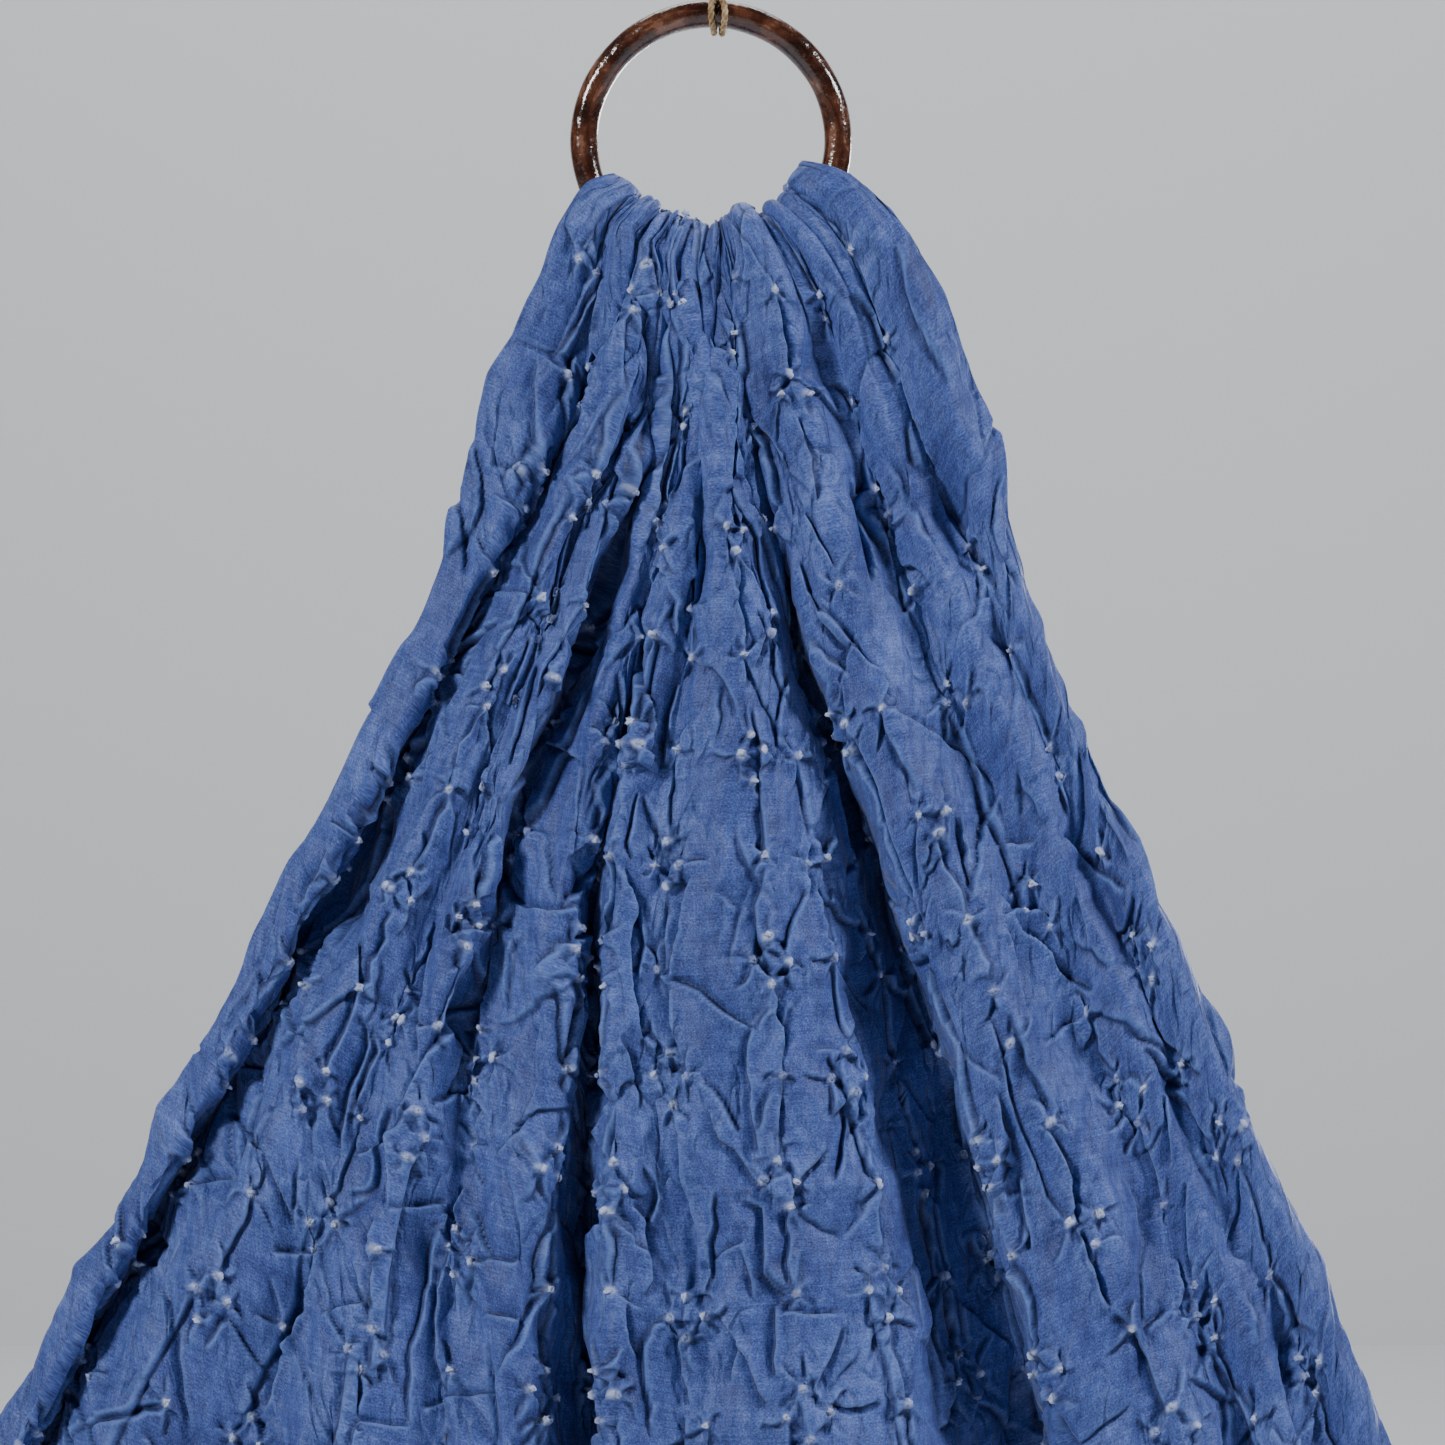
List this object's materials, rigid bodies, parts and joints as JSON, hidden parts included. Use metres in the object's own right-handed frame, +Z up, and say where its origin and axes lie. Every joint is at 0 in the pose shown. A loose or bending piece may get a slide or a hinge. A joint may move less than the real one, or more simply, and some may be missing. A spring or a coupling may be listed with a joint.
{
  "type": "tie-dyed silk cloth hung through a wooden ring",
  "caption": "Length of crinkled tie-dyed silk drawn through an upright wooden ring, falling in pleated front and back halves that flare like a skirt.",
  "frame": {"origin": "top of the twine's eye, by which the whole thing hangs", "axes": "+Z up, along the cloth's fall; +X to the right across the drape; the front half faces -Y"},
  "size_m": [0.4373, 0.1646, 0.5642],
  "materials": {
    "dyed_silk": "soft silk sheen, tie-dyed blue with small undyed dots, crinkled",
    "lacquered_wood": "glossy dark red-brown lacquer, lightly scuffed",
    "jute": "rough twisted jute, undyed"
  },
  "bodies": {
    "root": {"cloth": "dyed_silk", "ring": "lacquered_wood", "twine_wrap": "jute", "twine_knot": "jute", "twine_eye": "jute"}
  },
  "joints": []
}
